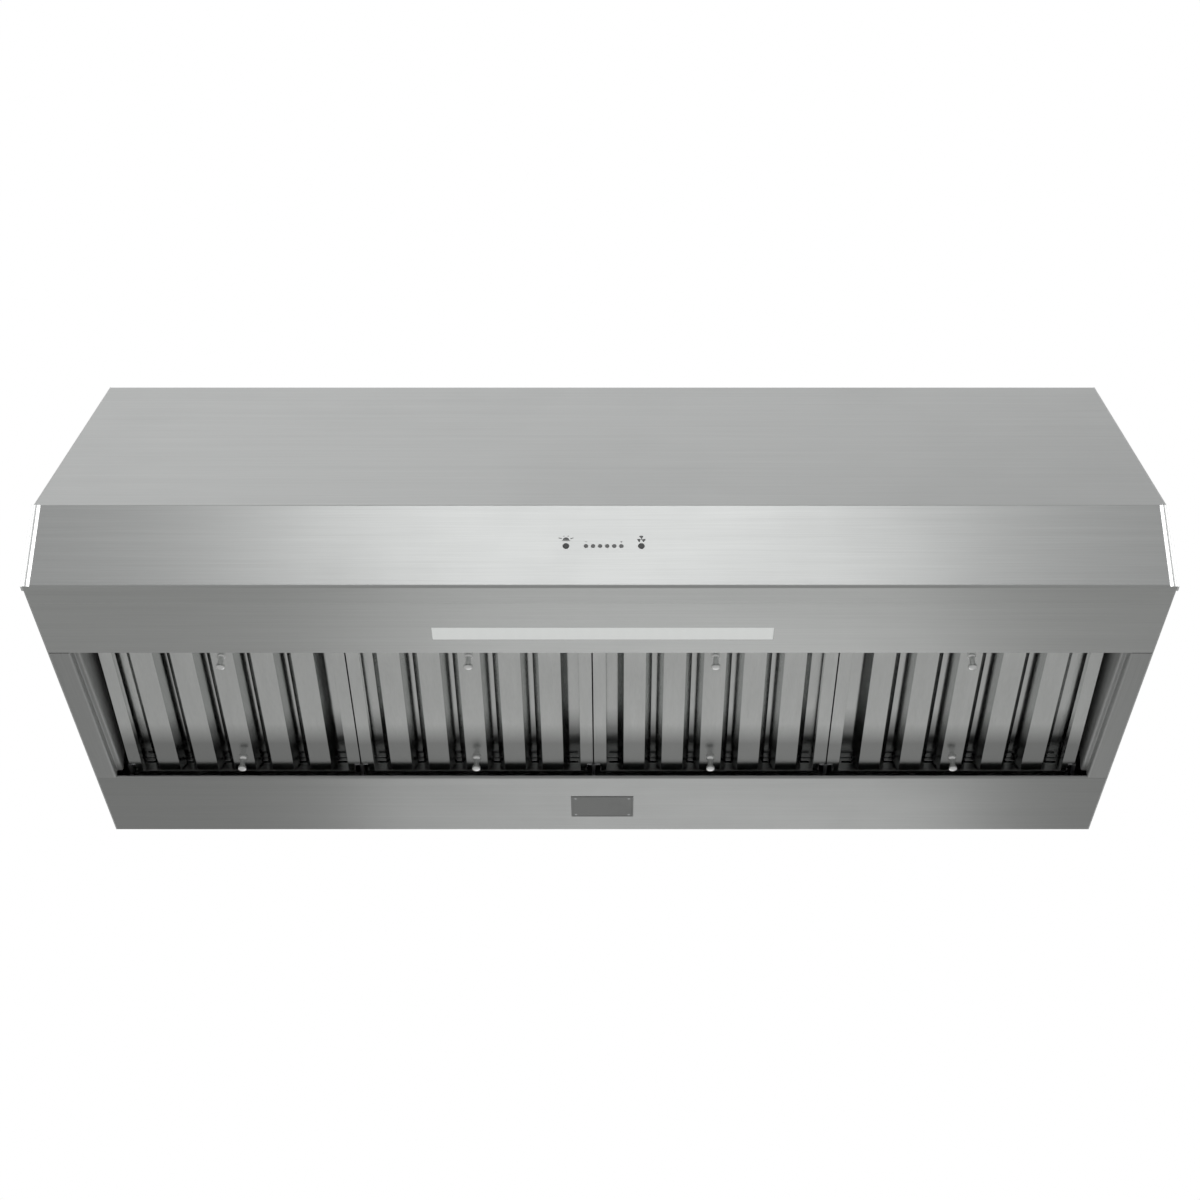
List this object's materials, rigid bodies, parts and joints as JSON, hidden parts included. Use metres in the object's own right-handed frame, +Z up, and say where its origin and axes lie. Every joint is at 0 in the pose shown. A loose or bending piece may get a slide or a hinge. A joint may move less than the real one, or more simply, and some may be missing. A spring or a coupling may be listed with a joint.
{
  "type": "under cabinet range hood",
  "caption": "Wide under-cabinet range hood in brushed steel with a sloped front, control fascia, lamp strip, tilting baffle filters, blowers and a round top duct collar.",
  "frame": {"origin": "centre of the four cabinet screw holes, on the upper face of the top panel", "axes": "+X to the right seen from the front, +Y back to the wall, +Z up to the cabinet"},
  "size_m": [1.217, 0.611, 0.4757],
  "materials": {
    "shell_steel": "brushed left to right",
    "polished_trim": "polished",
    "filter_steel": "satin",
    "knob_steel": "polished",
    "galvanised": "galvanised, spangled",
    "pin_steel": "zinc plated",
    "magnet_nickel": "nickel plated",
    "lens_white": "frosted",
    "led_board": "white solder mask",
    "driver_white": "fine texture",
    "plate_grey": "matt",
    "button_dark": "semi-gloss",
    "indicator_dark": "gloss",
    "black_plastic": "moulded",
    "board_green": "solder mask",
    "motor_paint": "black enamel",
    "can_aluminium": "drawn",
    "seal_foam": "closed-cell foam",
    "grommet_rubber": "moulded",
    "lead_black": "satin sheath"
  },
  "bodies": {
    "hood": {"front_panel": "shell_steel", "lamp_panel": "shell_steel", "rear_panel": "shell_steel", "side_panels": "shell_steel", "side_rails": "shell_steel", "top_panel": "shell_steel", "back_panel": "shell_steel", "end_trims": "polished_trim", "blower_shelf": "galvanised", "grease_trough": "galvanised", "left_blower_scroll": "galvanised", "right_blower_scroll": "galvanised", "inlet_rings": "galvanised", "outlet_box": "galvanised", "duct_collar": "galvanised", "motor_brackets": "galvanised", "junction_box": "galvanised", "junction_cover": "galvanised", "control_box": "galvanised", "lamp_housing": "galvanised", "pivot_posts": "pin_steel", "damper_pins": "pin_steel", "motor_screws": "pin_steel", "magnet_catches": "magnet_nickel", "lamp_lens": "lens_white", "led_board": "led_board", "lamp_driver": "driver_white", "rating_plate": "plate_grey", "indicator_lenses": "indicator_dark", "button_guide": "black_plastic", "terminal_block": "black_plastic", "control_board": "board_green", "left_blower_motor": "motor_paint", "right_blower_motor": "motor_paint", "run_capacitors": "can_aluminium", "damper_seals": "seal_foam", "lead_grommet": "grommet_rubber", "inner_leads": "lead_black"},
    "left_wheel": {"left_blower_wheel": "galvanised", "left_wheel_ring": "galvanised", "left_blower_shaft": "pin_steel"},
    "right_wheel": {"right_blower_wheel": "galvanised", "right_wheel_ring": "galvanised", "right_blower_shaft": "pin_steel"},
    "front_flap": {"front_damper_flap": "galvanised"},
    "rear_flap": {"rear_damper_flap": "galvanised"},
    "lamp_key": {"lamp_button": "button_dark"},
    "fan_key": {"fan_button": "button_dark"},
    "filter_1": {"filter_1_frame": "filter_steel", "filter_1_baffles": "filter_steel", "filter_1_knobs": "knob_steel"},
    "filter_2": {"filter_2_frame": "filter_steel", "filter_2_baffles": "filter_steel", "filter_2_knobs": "knob_steel"},
    "filter_3": {"filter_3_frame": "filter_steel", "filter_3_baffles": "filter_steel", "filter_3_knobs": "knob_steel"},
    "filter_4": {"filter_4_frame": "filter_steel", "filter_4_baffles": "filter_steel", "filter_4_knobs": "knob_steel"}
  },
  "joints": [
    {"name": "filter_1_tilt", "type": "hinge", "parent": "hood", "child": "filter_1", "pos_m": [0, 0.0035, -0.4382], "axis": [1, 0, 0], "range_deg": [0, 60]},
    {"name": "filter_2_tilt", "type": "hinge", "parent": "hood", "child": "filter_2", "pos_m": [0, 0.0035, -0.4382], "axis": [1, 0, 0], "range_deg": [0, 60]},
    {"name": "filter_3_tilt", "type": "hinge", "parent": "hood", "child": "filter_3", "pos_m": [0, 0.0035, -0.4382], "axis": [1, 0, 0], "range_deg": [0, 60]},
    {"name": "filter_4_tilt", "type": "hinge", "parent": "hood", "child": "filter_4", "pos_m": [0, 0.0035, -0.4382], "axis": [1, 0, 0], "range_deg": [0, 60]},
    {"name": "left_wheel_spin", "type": "hinge", "parent": "hood", "child": "left_wheel", "pos_m": [-0.34, -0.0375, -0.257], "axis": [0, 0, 1], "continuous": true},
    {"name": "right_wheel_spin", "type": "hinge", "parent": "hood", "child": "right_wheel", "pos_m": [0.34, -0.0375, -0.257], "axis": [0, 0, 1], "continuous": true},
    {"name": "front_flap_swing", "type": "hinge", "parent": "hood", "child": "front_flap", "pos_m": [0, -0.004, -0.03], "axis": [-1, 0, 0], "range_deg": [0, 75]},
    {"name": "rear_flap_swing", "type": "hinge", "parent": "hood", "child": "rear_flap", "pos_m": [0, 0.004, -0.03], "axis": [1, 0, 0], "range_deg": [0, 75]},
    {"name": "lamp_key_press", "type": "slide", "parent": "hood", "child": "lamp_key", "axis": [0, 0.9983, -0.0576], "range_m": [0, 0.0012], "stiffness_N_per_m": 400, "springref_m": -0.001},
    {"name": "fan_key_press", "type": "slide", "parent": "hood", "child": "fan_key", "axis": [0, 0.9983, -0.0576], "range_m": [0, 0.0012], "stiffness_N_per_m": 400, "springref_m": -0.001}
  ]
}
